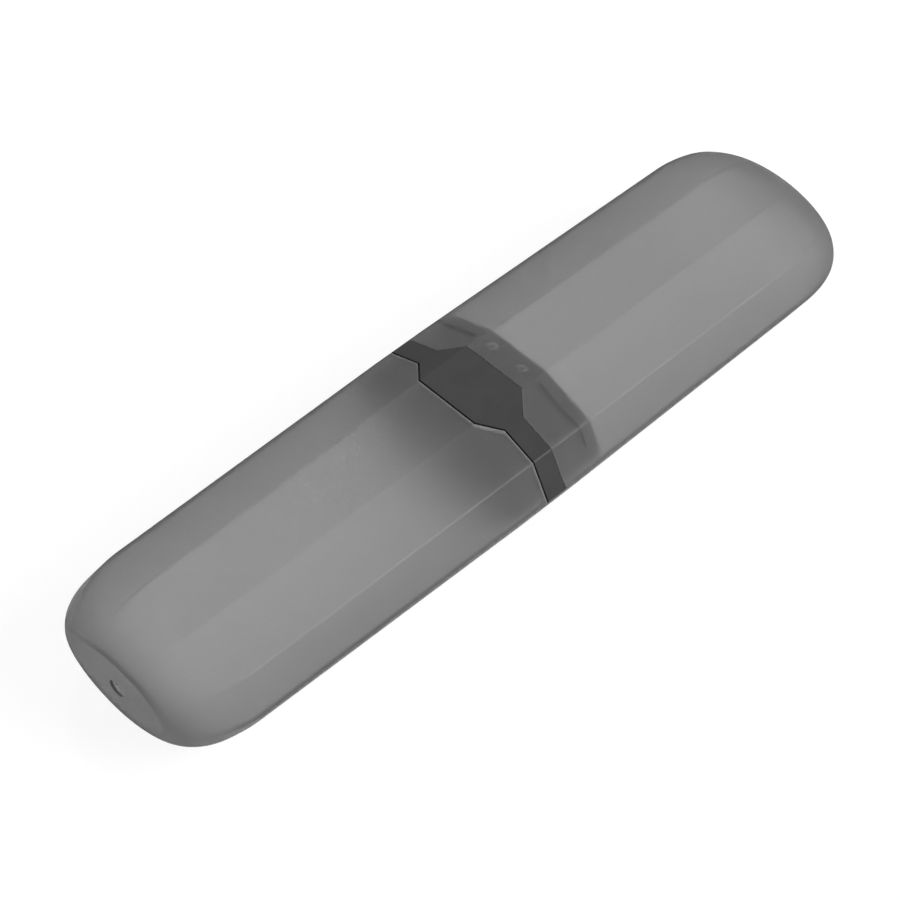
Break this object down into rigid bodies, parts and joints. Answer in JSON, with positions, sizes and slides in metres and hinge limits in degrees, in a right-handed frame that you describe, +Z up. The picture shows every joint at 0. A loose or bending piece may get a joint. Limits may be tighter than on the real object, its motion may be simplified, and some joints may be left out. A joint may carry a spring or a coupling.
{
  "type": "electric toothbrush travel case",
  "caption": "Slim faceted travel case for an electric toothbrush: frosted smoke-grey shells with rounded ends, the front shell pulling straight off a dark collar with a broad flat pad.",
  "frame": {"origin": "middle of the underside, below the middle of the collar", "axes": "+X along the case towards the shell that stays on the collar, +Y across its width, +Z up from the flat underside"},
  "size_m": [0.22, 0.0584, 0.0316],
  "materials": {
    "front_frosted_plastic": "translucent smoke-grey moulding, spark-eroded frosted outside",
    "charcoal_plastic": "opaque charcoal moulding, fine satin texture",
    "rear_frosted_plastic": "translucent smoke-grey moulding, spark-eroded frosted outside"
  },
  "bodies": {
    "case_base": {"rear_shell": "rear_frosted_plastic", "collar": "charcoal_plastic"},
    "front_cap": {"front_shell": "front_frosted_plastic"}
  },
  "joints": [
    {"name": "front_shell_pull", "type": "slide", "parent": "case_base", "child": "front_cap", "axis": [-1, 0, 0], "range_m": [0, 0.11]}
  ]
}
